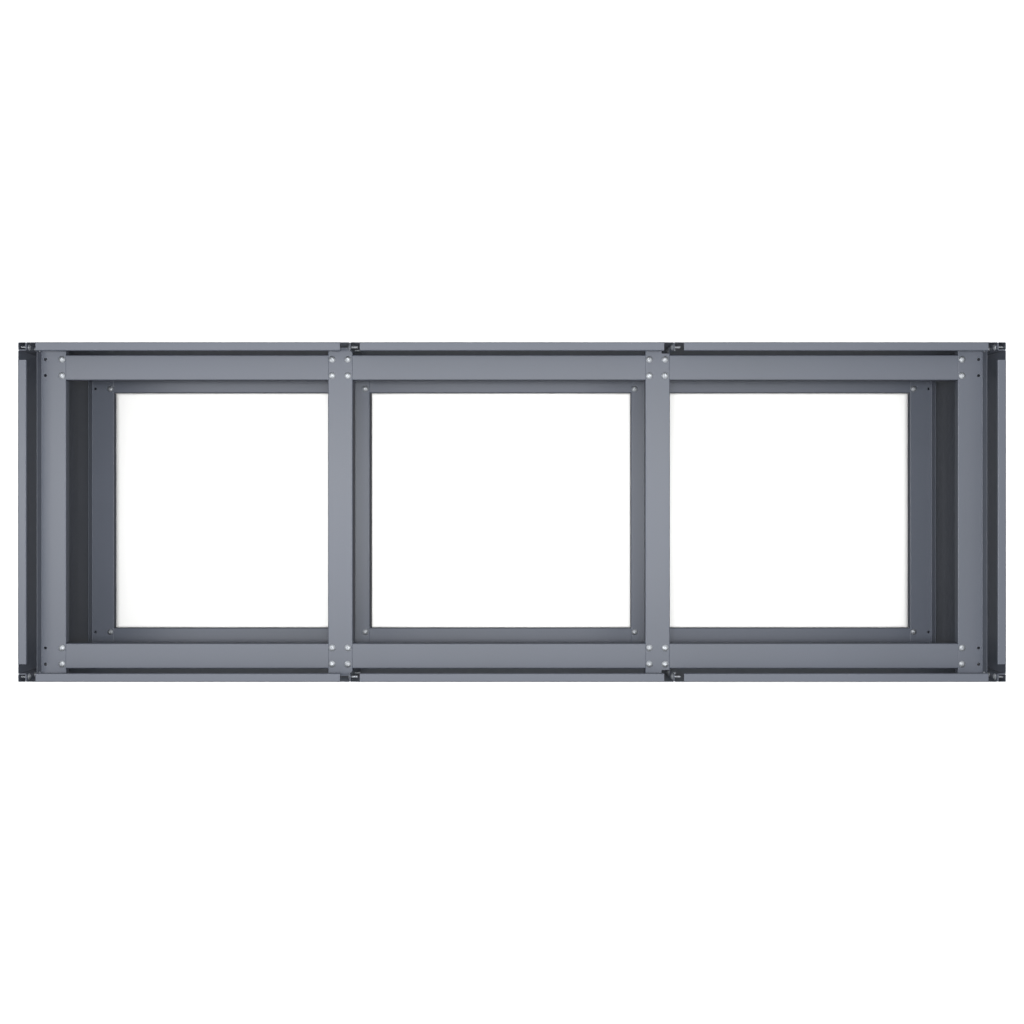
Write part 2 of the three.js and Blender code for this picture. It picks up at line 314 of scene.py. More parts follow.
@dataclass(frozen=True)
class FloorPaint:
    """Matt white paint on a smooth studio floor, which gives the eye an even pale ground."""

    name: str = "matt_white_floor_paint"
    white: str = "dadad9"
    shade: str = "d7d7d6"
    roughness: float = 0.8
    patch_mm: float = 900.0

    def material(self) -> Material:
        """Builds the floor's node material.

        Returns:
            The material.
        """
        made, shader, place = new_material(self.name)
        tree = made.node_tree
        patches = add_node(
            tree,
            "ShaderNodeTexNoise",
            inputs={"Vector": place, "Scale": 1 / (self.patch_mm * MM)},
        )
        colour = add_node(tree, "ShaderNodeValToRGB", inputs={"Fac": patches.outputs["Fac"]})
        blend_colours(colour, {0.0: self.shade, 1.0: self.white})
        feed(tree, shader, {"Base Color": colour.outputs["Color"], "Roughness": self.roughness})
        return made


# ---- Folded sheet --------------------------------------------------------------------------------


class Sweep(Enum):
    """The axis that a sheet's folded path is swept along, with the axes that the path is drawn in."""

    ALONG_X = ((0, 1, 0), (0, 0, 1), (1, 0, 0))
    ALONG_Y = ((1, 0, 0), (0, 0, 1), (0, -1, 0))
    ALONG_Z = ((1, 0, 0), (0, 1, 0), (0, 0, 1))

    def point(self, across: Vector, along: float) -> Vector:
        """Places a point of the path at a station along the sweep, in metres."""
        first, second, sweep = (Vector(axis) for axis in self.value)
        return (first * across.x + second * across.y + sweep * along) * MM


@dataclass(frozen=True)
class SheetStock:
    """The steel sheet that the bed is folded from, and how its edges are finished."""

    thickness: float = 1.2
    inner_fold: float = 1.5
    fold_steps: int = 8
    edge_round: float = 0.3
    edge_angle: float = 50.0  # edges sharper than this, in degrees, are rounded
    hole_sides: int = 28

    @property
    def outer_fold(self) -> float:
        """The radius on the outside of a fold."""
        return self.inner_fold + self.thickness

    def folded_path(self, corners: Sequence[tuple[float, float]]) -> list[Vector]:
        """Rounds the square corners of a path that follows one face of the sheet.

        Args:
            corners: The path's corners. The metal lies to the left of the way they run, and a corner
                on a straight stretch only divides it.

        Returns:
            The path's points, with an arc of the right fold radius at each corner.
        """
        points = [Vector(corner) for corner in corners]
        path = [points[0]]
        for before, corner, after in zip(points, points[1:], points[2:]):
            way_in = (corner - before).normalized()
            way_out = (after - corner).normalized()
            turn = way_in.x * way_out.y - way_in.y * way_out.x
            if not round(turn):  # straight on
                path.append(corner)
                continue
            radius = self.outer_fold if turn > 0 else self.inner_fold
            centre = corner + (way_out - way_in) * radius
            for step in range(self.fold_steps + 1):
                angle = 0.5 * math.pi * step / self.fold_steps
                path.append(centre - way_out * radius * math.cos(angle) + way_in * radius * math.sin(angle))
        path.append(points[-1])
        return path


@dataclass
class Sheet:
    """One piece of folded sheet steel, from its surface to its finished mesh."""

    stock: SheetStock
    surface: BMesh = field(default_factory=bmesh.new)
    holes: BMesh = field(default_factory=bmesh.new)

    def sweep(
        self,
        corners: Sequence[tuple[float, float]],
        sweep: Sweep,
        stations: Sequence[float],
        keep: Callable[[Vector], bool] = lambda centre: True,
    ) -> None:
        """Adds a folded path swept between stations.

        Args:
            corners: The path's corners, as SheetStock.folded_path takes them.
            sweep: The axis of the sweep.
            stations: Rising places along the sweep at which the surface is divided.
            keep: Says of a facet's centre, in millimetres, whether the facet is metal or cut away.
        """
        path = self.stock.folded_path(corners)
        for low, high in zip(stations, stations[1:]):
            for start, end in zip(path, path[1:]):
                ring = [
                    sweep.point(start, low),
                    sweep.point(end, low),
                    sweep.point(end, high),
                    sweep.point(start, high),
                ]
                if keep(sum(ring, Vector()) / len(ring) / MM):
                    self.surface.faces.new([self.surface.verts.new(point) for point in ring])

    def drill(self, centre: tuple[float, float, float], axis: str, radius: float) -> None:
        """Marks a round hole.

        Args:
            centre: A point on the hole's axis, inside the sheet.
            axis: The hole's axis, "X", "Y" or "Z".
            radius: The hole's radius.
        """
        turns = {"X": Matrix.Rotation(math.pi / 2, 4, "Y"), "Y": Matrix.Rotation(math.pi / 2, 4, "X")}
        matrix = Matrix.Translation(Vector(centre) * MM) @ turns.get(axis, Matrix.Identity(4))
        bmesh.ops.create_cone(
            self.holes,
            cap_ends=True,
            segments=self.stock.hole_sides,
            radius1=radius * MM,
            radius2=radius * MM,
            depth=4 * self.stock.thickness * MM,
            matrix=matrix,
        )

    def finished(self, name: str) -> Mesh:
        """Gives the surface its thickness, drills it and softens its edges.

        Args:
            name: The finished mesh's name.

        Returns:
            A closed mesh with smooth folds and flat faces.
        """
        bmesh.ops.remove_doubles(self.surface, verts=self.surface.verts, dist=MERGE * MM)
        sheet = scratch_object(f"{name}_surface", self.surface)
        thicken = sheet.modifiers.new("thickness", "SOLIDIFY")
        thicken.thickness = self.stock.thickness * MM
        thicken.offset = -1.0
        thicken.use_even_offset = True
        scratch = [sheet]
        if self.holes.verts:
            scratch.append(cut_away(sheet, f"{name}_drills", self.holes))
        else:
            self.holes.free()
        soften(sheet, self.stock.edge_round, self.stock.edge_angle)
        shading = sheet.modifiers.new("shading", "WEIGHTED_NORMAL")
        shading.keep_sharp = True
        return baked_mesh(sheet, name, scratch)


def scratch_object(name: str, shape: BMesh) -> Object:
    """Turns a bmesh into an object that is only a step on the way, with smooth faces.

    Args:
        name: The object's name.
        shape: The bmesh, which is freed.

    Returns:
        The object.
    """
    for face in shape.faces:
        face.smooth = True
    mesh = bpy.data.meshes.new(name)
    shape.to_mesh(mesh)
    shape.free()
    made = bpy.data.objects.new(name, mesh)
    bpy.context.scene.collection.objects.link(made)
    return made


def cut_away(target: Object, name: str, shape: BMesh, crossed: bool = False) -> Object:
    """Cuts a shape out of an object with a modifier.

    Args:
        target: The object that is cut.
        name: The cutter's name.
        shape: What is cut away, which is freed.
        crossed: Whether the shape's own bodies cross each other.

    Returns:
        The cutter, which is needed until the object is baked.
    """
    cutter = scratch_object(name, shape)
    cutting = target.modifiers.new("cutting", "BOOLEAN")
    cutting.operation = "DIFFERENCE"
    cutting.solver = "EXACT"
    cutting.use_self = crossed
    cutting.object = cutter
    return cutter


def soften(target: Object, width: float, angle: float) -> None:
    """Rounds an object's sharp edges with a modifier.

    Args:
        target: The object.
        width: The rounding's width, in millimetres.
        angle: The smallest angle between faces that is rounded, in degrees.
    """
    edges = target.modifiers.new("edges", "BEVEL")
    edges.width = width * MM
    edges.segments = BEVEL_SEGMENTS
    edges.limit_method = "ANGLE"
    edges.angle_limit = math.radians(angle)


def baked_mesh(source: Object, name: str, scratch: Iterable[Object]) -> Mesh:
    """Turns what an object's modifiers make into a plain mesh.

    Args:
        source: The object with the modifiers.
        name: The plain mesh's name.
        scratch: The objects that are no longer needed, the source among them.

    Returns:
        The plain mesh.
    """
    graph = bpy.context.evaluated_depsgraph_get()
    mesh = bpy.data.meshes.new_from_object(source.evaluated_get(graph), depsgraph=graph)
    mesh.name = name
    for leftover in scratch:
        bpy.data.objects.remove(leftover)
    return mesh


def add_piece(name: str, mesh: Mesh, finish: Material, nodes: Sequence[str] = ()) -> Object:
    """Adds a finished piece to the scene and to the frame's body.

    Args:
        name: The piece's name.
        mesh: Its mesh, already in place.
        finish: Its material.
        nodes: The frame's nodes that it stands for.

    Returns:
        The piece.
    """
    mesh.materials.clear()
    mesh.materials.append(finish)
    piece = bpy.data.objects.new(name, mesh)
    bpy.context.scene.collection.objects.link(piece)
    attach(piece, BODY)
    if nodes:
        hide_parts(*nodes)
    LOG.info("%s: %d faces, stands for %s", name, len(mesh.polygons), ", ".join(nodes) or "nothing")
    return piece


def stand_sheet(node: str, sheet: Mesh, stand: Matrix, finish: Material) -> None:
    """Stands a folded sheet in its place and adds it for the frame's node.

    Args:
        node: The frame's node.
        sheet: The folded sheet's mesh.
        stand: The matrix from the sheet's own axes to the frame's.
        finish: Its material.
    """
    sheet.transform(stand)
    add_piece(f"{node}_sheet", sheet, finish, [node])


# ---- Sizes shared by the sub-assemblies ----------------------------------------------------------


@dataclass(frozen=True)
class BoltPlan:
    """Where the bolts go through the sheets, and how wide their holes are."""

    hole_radius: float = 3.5
    flange_inset: float = 10.0  # from a wall's outer face to the bolts through the end flanges
    rim_drop: float = 20.0  # from the rim, or the ground, to the first bolt
    leg_drop: float = 18.0  # from a middle member's top to the bolt through its leg
    upstand_rise: float = 14.0  # from an end member's top to the bolt through its upstand
    end_panel_heights: tuple[float, ...] = (180.0, 310.0, 440.0)
    rows: tuple[float, ...] = (327.5, 366.5)  # |y| of the rows through the rails
    middle_columns: tuple[float, ...] = (11.7, 49.5)  # from a middle member's leg
    end_column: float = 1082.4  # |x| of the bolts through an end member
    spare_column: float = 1122.0  # |x| of an end member's spare holes
    rail_lap: float = 12.0  # from a rail's end to its bolts

    def joint_heights(self, top: float, ladder_tops: Iterable[float]) -> list[float]:
        """The heights of the bolts through a joint between two long panels."""
        return [self.rim_drop, top - self.rim_drop, *(level - self.leg_drop for level in ladder_tops)]

    def corner_heights(self, top: float, ladder_tops: Iterable[float]) -> list[float]:
        """The heights of the bolts from a long panel into a corner post."""
        return [self.rim_drop, top - self.rim_drop, *(level + self.upstand_rise for level in ladder_tops)]


@dataclass(frozen=True)
class Datum:
    """The bed's own sizes, read from the frame."""

    half_length: float
    half_width: float
    height: float
    ladder_tops: dict[str, float]

    @classmethod
    def from_frame(cls) -> Datum:
        """Reads the bed's box and its ladders' heights, in millimetres.

        Returns:
            The bed's sizes.
        """
        high = CAD_BOX[1] / MM
        tops = {level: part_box(f"{level}_member_middle_left")[1].z / MM for level in ("upper", "lower")}
        return cls(high.x, high.y, high.z, tops)


class Wall(Enum):
    """The side of the bed that a panel stands on, with the turn that faces it inwards."""

    FRONT = 0.0
    BACK = math.pi
    LEFT = -math.pi / 2
    RIGHT = math.pi / 2

    def stand(self, node: str) -> Matrix:
        """Works out where a panel goes from the box of the node that it stands for.

        Args:
            node: The frame's node.

        Returns:
            The matrix from the panel's own axes, outer face on y = 0, to the frame's.
        """
        low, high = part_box(node)
        middle = (low + high) / 2
        foot = {
            Wall.FRONT: Vector((middle.x, low.y, 0)),
            Wall.BACK: Vector((middle.x, high.y, 0)),
            Wall.LEFT: Vector((low.x, middle.y, 0)),
            Wall.RIGHT: Vector((high.x, middle.y, 0)),
        }[self]
        return Matrix.Translation(foot) @ Matrix.Rotation(self.value, 4, "Z")


# ---- Walls ---------------------------------------------------------------------------------------


@dataclass
class WallPanels:
    """The eight tray panels: three along the front, three along the back and one at each end."""

    stock: SheetStock
    bolts: BoltPlan
    datum: Datum
    finish: Material
    rim_flange: float = 20.0
    rim_lip: float = 8.0
    rim_notch: float = 23.15
    end_flange: float = 18.0

    def tray(self, name: str, length: float, left: Sequence[float], right: Sequence[float]) -> Mesh:
        """Folds one panel, with its outer face on y = 0 and its inside towards +y.

        Args:
            name: The mesh's name.
            length: The panel's length along x.
            left: The heights of the holes in its left end flange.
            right: The heights of the holes in its right end flange.

        Returns:
            The finished mesh.
        """
        half = length / 2
        notch = half - self.rim_notch
        height = self.datum.height
        fold = self.stock.outer_fold
        sheet = Sheet(self.stock)
        rim_path = [
            (self.rim_flange, height - self.rim_lip),
            (self.rim_flange, height),
            (0, height),
            (0, 0),
            (self.rim_flange, 0),
            (self.rim_flange, self.rim_lip),
        ]
        sheet.sweep(rim_path, Sweep.ALONG_X, [-notch, notch])
        end_path = [
            (-half, self.end_flange),
            (-half, 0),
            (-notch, 0),
            (notch, 0),
            (half, 0),
            (half, self.end_flange),
        ]
        sheet.sweep(end_path, Sweep.ALONG_Z, [fold, height - fold], lambda at: abs(at.x) > notch)
        for side, heights in ((-1, left), (1, right)):
            for z in heights:
                centre = (side * (half - self.stock.thickness / 2), self.bolts.flange_inset, z)
                sheet.drill(centre, "X", self.bolts.hole_radius)
        return sheet.finished(name)

    def build(self) -> None:
        """Builds every panel and sets it on its wall."""
        tops = self.datum.ladder_tops.values()
        joint = self.bolts.joint_heights(self.datum.height, tops)
        corner = self.bolts.corner_heights(self.datum.height, tops)
        ends = self.bolts.end_panel_heights
        holes = {"left": (corner, joint), "middle": (joint, joint), "right": (joint, corner)}
        for bay, (left, right) in holes.items():
            self.add(f"front_panel_{bay}", Wall.FRONT, left, right)
            self.add(f"back_panel_{bay}", Wall.BACK, right, left)
        self.add("end_panel_left", Wall.LEFT, ends, ends)
        self.add("end_panel_right", Wall.RIGHT, ends, ends)

    def add(self, node: str, wall: Wall, left: Sequence[float], right: Sequence[float]) -> None:
        """Adds the panel that stands for a node.

        Args:
            node: The frame's node.
            wall: The wall that the panel is in.
            left: The heights of the holes in its left end flange, seen from outside.
            right: The heights of the holes in its right end flange.
        """
        low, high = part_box(node)
        size = (high - low) / MM
        sheet = self.tray(f"{node}_sheet", max(size.x, size.y), left, right)
        stand_sheet(node, sheet, wall.stand(node), self.finish)


@dataclass
class CornerPosts:
    """The four hollow posts between the long walls and the end walls."""

    stock: SheetStock
    bolts: BoltPlan
    datum: Datum
    finish: Material
    seam: float = 0.4  # width of the seam where the folded strip meets itself

    def tube(
        self, name: str, side: float, height: float, x_holes: Sequence[float], y_holes: Sequence[float]
    ) -> Mesh:
        """Folds one post, with its outer corner on the origin and its body towards +x and +y.

        Args:
            name: The mesh's name.
            side: The width of the square that it fills.
            height: Its height.
            x_holes: The heights of the holes in its far wall across x.
            y_holes: The heights of the holes in its far wall across y.

        Returns:
            The finished mesh.
        """
        sheet = Sheet(self.stock)
        seam = side - self.stock.outer_fold - self.seam
        path = [(seam, side), (0, side), (0, 0), (side, 0), (side, side), (seam + self.seam, side)]
        sheet.sweep(path, Sweep.ALONG_Z, [0, height])
        wall = side - self.stock.thickness / 2
        for z in x_holes:
            sheet.drill((wall, self.bolts.flange_inset, z), "X", self.bolts.hole_radius)
        for z in y_holes:
            sheet.drill((self.bolts.flange_inset, wall, z), "Y", self.bolts.hole_radius)
        return sheet.finished(name)

    def build(self) -> None:
        """Builds the posts, each turned so that its outer corner is the bed's."""
        long_wall = self.bolts.corner_heights(self.datum.height, self.datum.ladder_tops.values())
        end_wall = self.bolts.end_panel_heights
        quarter = math.pi / 2
        corners = {
            "front_left": (0.0, long_wall, end_wall),
            "front_right": (quarter, end_wall, long_wall),
            "back_right": (2 * quarter, long_wall, end_wall),
            "back_left": (-quarter, end_wall, long_wall),
        }
        for corner, (turn, x_holes, y_holes) in corners.items():
            node = f"corner_post_{corner}"
            low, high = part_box(node)
            size = (high - low) / MM
            sheet = self.tube(f"{node}_sheet", min(size.x, size.y), size.z, x_holes, y_holes)
            foot = Vector((low.x if "left" in corner else high.x, low.y if "front" in corner else high.y, 0))
            stand_sheet(node, sheet, Matrix.Translation(foot) @ Matrix.Rotation(turn, 4, "Z"), self.finish)


# ---- Ladders -------------------------------------------------------------------------------------


@dataclass
class Ladders:
    """The upper and lower ladders: four cross members each, lying on six rails."""

    stock: SheetStock
    bolts: BoltPlan
    datum: Datum
    finish: Material
    lip: float = 22.0
    leg: float = 60.0
    upstand: float = 30.0
    web_reach: float = 395.0
    tab_reach: float = 398.0
    rail_room: float = 1.5
    relief_along: float = 20.0
    relief_across: float = 14.5

    def rail_limits(self) -> tuple[float, float]:
        """The |y| of the edges of the notches that the rails pass through."""
        low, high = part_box("upper_rail_back_middle")
        return low.y / MM - self.rail_room, high.y / MM + self.rail_room

    def stations(self) -> list[float]:
        """Lists the places where a cross member's outline changes.

        Returns:
            Their y, from front to back.
        """
        inner, outer = self.rail_limits()
        relief = self.web_reach - self.relief_across
        half = [inner, outer, relief, self.web_reach, self.tab_reach]
        return sorted([-y for y in half] + half)

    def over_rail(self, y: float) -> bool:
        """Says whether a place along a cross member is over a rail."""
        inner, outer = self.rail_limits()
        return inner < abs(y) < outer

    def drill_web(self, sheet: Sheet, columns: Iterable[float]) -> None:
        """Drills a web in both bolt rows on both sides.

        Args:
            sheet: The member.
            columns: The x of the holes, in the member's own axes.
        """
        for x in columns:
            for row in self.bolts.rows:
                for y in (-row, row):
                    sheet.drill((x, y, -self.stock.thickness / 2), "Z", self.bolts.hole_radius)

    def middle_member(self, name: str, width: float, relieved: bool) -> Mesh:
        """Folds a middle cross member, its leg's outer face on x = 0 and its web towards -x.

        Args:
            name: The mesh's name.
            width: The web's width.
            relieved: Whether the web is cut back at its ends, beside the leg.

        Returns:
            The finished mesh, with its top on z = 0.
        """
        fold = self.stock.outer_fold
        notch_floor = -(self.stock.thickness + self.lip + 2 * self.rail_room)
        web = [(0, 0), (-self.relief_along, 0), (-width, 0)]
        path = [(0, -self.leg), (0, notch_floor), *web, (-width, -self.lip)]

        def keep(at: Vector) -> bool:
            """Says whether a facet is metal.

            Args:
                at: The facet's centre, in millimetres.

            Returns:
                Whether it stays.
            """
            end = abs(at.y)
            on_leg = at.x > -fold
            if end > self.web_reach:
                return on_leg and at.z < -fold
            if relieved and end > self.web_reach - self.relief_across:
                return at.x < -self.relief_along or (on_leg and at.z < -fold)
            if self.over_rail(at.y):
                on_web = at.z > -self.stock.thickness
                return on_web or (on_leg and at.z < notch_floor)
            return True

        sheet = Sheet(self.stock)
        sheet.sweep(path, Sweep.ALONG_Y, self.stations(), keep)
        self.drill_web(sheet, [-column for column in self.bolts.middle_columns])
        reach = self.datum.half_width - self.bolts.flange_inset
        for y in (-reach, reach):
            sheet.drill((-self.stock.thickness / 2, y, -self.bolts.leg_drop), "X", self.bolts.hole_radius)
        return sheet.finished(name)

    def end_member(self, name: str, inner_face: float, outer_face: float) -> Mesh:
        """Folds the right-hand end cross member in the frame's own x.

        Args:
            name: The mesh's name.
            inner_face: The x of its lip's face.
            outer_face: The x of its upstand's outer face.

        Returns:
            The finished mesh, with its web's top on z = 0.
        """
        upstand_face = outer_face - self.stock.thickness
        path = [(upstand_face, self.upstand), (upstand_face, 0), (inner_face, 0), (inner_face, -self.lip)]

        def keep(at: Vector) -> bool:
            """Says whether a facet is metal.

            Args:
                at: The facet's centre, in millimetres.

            Returns:
                Whether it stays.
            """
            if abs(at.y) > self.web_reach:
                return at.z > self.stock.inner_fold
            on_lip = at.z < -self.stock.thickness
            return not (on_lip and self.over_rail(at.y))

        sheet = Sheet(self.stock)
        sheet.sweep(path, Sweep.ALONG_Y, self.stations(), keep)
        self.drill_web(sheet, [self.bolts.end_column, self.bolts.spare_column])
        reach = self.datum.half_width - self.bolts.flange_inset
        for y in (-reach, reach):
            centre = (outer_face - self.stock.thickness / 2, y, self.bolts.upstand_rise)
            sheet.drill(centre, "X", self.bolts.hole_radius)
        return sheet.finished(name)

    def rail(self, name: str, low: Vector, high: Vector) -> Mesh:
        """Folds a rail on the back side, a shallow channel open downwards.

        Args:
            name: The mesh's name.
            low: The lowest corner of its box, in millimetres.
            high: The highest corner of its box.

        Returns:
            The finished mesh, in place.
        """
        sheet = Sheet(self.stock)
        path = [(high.y, low.z), (high.y, high.z), (low.y, high.z), (low.y, low.z)]
        sheet.sweep(path, Sweep.ALONG_X, [low.x, high.x])
        for x in (low.x + self.bolts.rail_lap, high.x - self.bolts.rail_lap):
            for y in self.bolts.rows:
                sheet.drill((x, y, high.z - self.stock.thickness / 2), "Z", self.bolts.hole_radius)
        return sheet.finished(name)

    def build(self) -> None:
        """Builds both ladders."""
        for level, top in self.datum.ladder_tops.items():
            lift = Matrix.Translation((0, 0, top * MM))
            for side in SIDES:
                node = f"{level}_member_middle_{side}"
                low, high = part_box(node)
                width = (high.x - low.x) / MM
                sheet = self.middle_member(f"{node}_sheet", width, relieved=side == "right")
                stand_sheet(node, sheet, Matrix.Translation((high.x, 0, top * MM)), self.finish)
            low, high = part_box(f"{level}_member_end_right")
            for side, turn in (("right", Matrix.Identity(4)), ("left", HALF_TURN)):
                node = f"{level}_member_end_{side}"
                sheet = self.end_member(f"{node}_sheet", low.x / MM, high.x / MM)
                stand_sheet(node, sheet, lift @ turn, self.finish)
            for bay in BAYS:
                self.add_rails(level, bay)

    def add_rails(self, level: str, bay: str) -> None:
        """Adds the two rails along one bay of a ladder.

        Args:
            level: The ladder, "upper" or "lower".
            bay: The bay, "left", "middle" or "right".
        """
        for wall, turn, way in (("back", Matrix.Identity(4), 1), ("front", HALF_TURN, -1)):
            node = f"{level}_rail_{wall}_{bay}"
            box = [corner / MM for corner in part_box(node)]
            (low_x, high_x), (low_y, high_y) = (sorted(way * at[axis] for at in box) for axis in (0, 1))
            low = Vector((low_x, low_y, box[0].z))
            high = Vector((high_x, high_y, box[1].z))
            stand_sheet(node, self.rail(f"{node}_sheet", low, high), turn, self.finish)


# ---- Fasteners -----------------------------------------------------------------------------------


@dataclass(frozen=True)
class BoltSizes:
    """An M6 mushroom-head bolt with a cross recess, and what goes on it."""

    head_radius: float = 8.0
    crown: float = 4.2
    rim: float = 0.6
    crown_steps: int = 6
    sides: int = 28
    core_radius: float = 2.6
    thread_depth: float = 0.4
    pitch: float = 1.0
    slot_length: float = 6.2
    slot_width: float = 1.5
    slot_depth: float = 2.0
    short: float = 18.0
    long: float = 28.0
    nut_flats: float = 10.0
    nut_height: float = 5.0
    nut_bore: float = 3.1
    sleeve_radius: float = 5.5
    sleeve_bore: float = 3.3
    softening: float = 0.15
    soft_angle: float = 40.0  # edges of the head sharper than this, in degrees, are rounded
    sharp_angle: float = 35.0  # edges sharper than this, in degrees, are shaded as creases
    steps_per_turn: int = 18  # of the thread's helix
    ridge_sides: int = 4


class Pointing(Enum):
    """The way a bolt's thread points."""

    LEFT = (-1, 0, 0)
    RIGHT = (1, 0, 0)
    FRONT = (0, -1, 0)
    BACK = (0, 1, 0)
    DOWN = (0, 0, -1)


def new_tree(name: str, sockets: dict[str, str]) -> tuple[NodeTree, bpy.types.bpy_prop_collection]:
    """Starts a Geometry Nodes tree that gives out geometry.

    Args:
        name: The tree's name.
        sockets: The kinds of its inputs by name.

    Returns:
        The tree, and the sockets that give its inputs.
    """
    tree = bpy.data.node_groups.new(name, "GeometryNodeTree")
    for socket, kind in sockets.items():
        tree.interface.new_socket(socket, in_out="INPUT", socket_type=f"NodeSocket{kind}")
    tree.interface.new_socket("Geometry", in_out="OUTPUT", socket_type="NodeSocketGeometry")
    return tree, add_node(tree, "NodeGroupInput").outputs


def end_tree(tree: NodeTree, geometry: NodeSocket, finish: NodeSocket) -> None:
    """Ends a tree in real geometry, dressed in its finish.

    Args:
        tree: The tree.
        geometry: The socket that gives what the tree made.
        finish: The socket that gives the material.
    """
    real = add_node(tree, "GeometryNodeRealizeInstances", inputs={"Geometry": geometry})
    looks = {"Geometry": real.outputs[0], "Material": finish}
    dressed = add_node(tree, "GeometryNodeSetMaterial", inputs=looks)
    add_node(tree, "NodeGroupOutput", inputs={"Geometry": dressed.outputs[0]})


@dataclass
class Fasteners:
    """The bolts, nuts and sleeves. One of each kind is shaped, and Geometry Nodes set out the rest."""

    stock: SheetStock
    bolts: BoltPlan
    datum: Datum
    finish: Material
    sizes: BoltSizes = BoltSizes()
    seed: int = 7
    pattern: NodeTree = field(init=False)

    def thread_tree(self) -> NodeTree:
        """Builds the node tree that winds a thread round a core, from z = 0 upwards.

        Returns:
            The tree, with inputs named Length, Pitch, Core Radius and Thread Depth.
        """
        sizes = ("Length", "Pitch", "Core Radius", "Thread Depth")
        tree, given = new_tree("wound_thread", {**dict.fromkeys(sizes, "Float"), "Finish": "Material"})
        length, core_radius = given["Length"], given["Core Radius"]
        turns = add_node(tree, "ShaderNodeMath", {"operation": "DIVIDE"}, {0: length, 1: given["Pitch"]})
        helix = add_node(
            tree,
            "GeometryNodeCurveSpiral",
            inputs={
                "Resolution": self.sizes.steps_per_turn,
                "Rotations": turns.outputs[0],
                "Start Radius": core_radius,
                "End Radius": core_radius,
                "Height": length,
            },
        )
        ridge = add_node(
            tree,
            "GeometryNodeCurvePrimitiveCircle",
            inputs={"Resolution": self.sizes.ridge_sides, "Radius": given["Thread Depth"]},
        )
        thread = add_node(
            tree,
            "GeometryNodeCurveToMesh",
            inputs={"Curve": helix.outputs[0], "Profile Curve": ridge.outputs[0], "Fill Caps": True},
        )
        core = add_node(
            tree,
            "GeometryNodeMeshCylinder",
            inputs={"Vertices": self.sizes.sides, "Radius": core_radius, "Depth": length},
        )
        half = add_node(tree, "ShaderNodeMath", {"operation": "MULTIPLY"}, {0: length, 1: 0.5})
        lift = add_node(tree, "ShaderNodeCombineXYZ", inputs={"Z": half.outputs[0]})
        raised = add_node(
            tree,
            "GeometryNodeTransform",
            inputs={"Geometry": core.outputs["Mesh"], "Translation": lift.outputs[0]},
        )
        both = add_node(tree, "GeometryNodeJoinGeometry")
        for body in (thread, raised):
            tree.links.new(body.outputs[0], both.inputs[0])
        end_tree(tree, both.outputs[0], given["Finish"])
        return tree

    def pattern_tree(self) -> NodeTree:
        """Builds the node tree that sets a part on every point, turned to the point's own facing.

        Returns:
            The tree, with inputs named Part, Spin, Seed and Finish.
        """
        sockets = {
            "Geometry": "Geometry",
            "Part": "Object",
            "Spin": "Float",
            "Seed": "Int",
            "Finish": "Material",
        }
        tree, given = new_tree("fastener_pattern", sockets)
        part = add_node(tree, "GeometryNodeObjectInfo", inputs={"Object": given["Part"]})
        facing = add_node(
            tree, "GeometryNodeInputNamedAttribute", {"data_type": "FLOAT_VECTOR"}, {"Name": "facing"}
        )
        aligned = add_node(
            tree,
            "FunctionNodeAlignRotationToVector",
            {"axis": "Z"},
            {"Vector": facing.outputs["Attribute"]},
        )
        angle = add_node(
            tree,
            "FunctionNodeRandomValue",
            {"data_type": "FLOAT"},
            {2: 0.0, 3: given["Spin"], "Seed": given["Seed"]},
        )
        spin = add_node(
            tree,
            "FunctionNodeAxisAngleToRotation",
            inputs={"Axis": (0, 0, 1), "Angle": angle.outputs[1]},
        )
        turned = add_node(
            tree,
            "FunctionNodeRotateRotation",
            {"rotation_space": "LOCAL"},
            {"Rotation": aligned.outputs[0], "Rotate By": spin.outputs[0]},
        )
        placed = add_node(
            tree,
            "GeometryNodeInstanceOnPoints",
            inputs={
                "Points": given["Geometry"],
                "Instance": part.outputs["Geometry"],
                "Rotation": turned.outputs[0],
            },
        )
        end_tree(tree, placed.outputs[0], given["Finish"])
        return tree

    @staticmethod
    def run_tree(tree: NodeTree, source: Object, values: dict[str, object], name: str) -> Mesh:
        """Runs a node tree on an object and keeps the result as a plain mesh.

        Args:
            tree: The tree.
            source: The object that it starts from, which is then removed.
            values: The tree's inputs by name.
            name: The plain mesh's name.

        Returns:
            The plain mesh.
        """
        modifier = source.modifiers.new(tree.name, "NODES")
        modifier.node_group = tree
        for item in tree.interface.items_tree:
            if item.item_type == "SOCKET" and item.in_out == "INPUT" and item.name in values:
                modifier[item.identifier] = values[item.name]
        return baked_mesh(source, name, [source])

    def head(self) -> BMesh:
        """Turns a mushroom head, its underside on z = 0 and its crown towards -z.

        Returns:
            The closed head.
        """
        s = self.sizes
        rise = s.crown - s.rim
        dome = (s.head_radius**2 + rise**2) / (2 * rise)
        widest = math.asin(s.head_radius / dome)
        arc = [
            Vector((dome * math.sin(a), 0, dome * (1 - math.cos(a)) - s.crown))
            for a in (widest * step / s.crown_steps for step in range(s.crown_steps + 1))
        ]
        profile = [*arc, Vector((s.head_radius, 0, 0)), Vector((0, 0, 0))]
        shape = bmesh.new()
        verts = [shape.verts.new(point * MM) for point in profile]
        edges = [shape.edges.new(pair) for pair in zip(verts, verts[1:])]
        bmesh.ops.spin(
            shape,
            geom=[*verts, *edges],
            axis=(0, 0, 1),
            cent=(0, 0, 0),
            angle=math.tau,
            steps=s.sides,
            use_duplicate=False,
        )
        bmesh.ops.remove_doubles(shape, verts=shape.verts, dist=MERGE * MM)
        bmesh.ops.recalc_face_normals(shape, faces=shape.faces)
        return shape

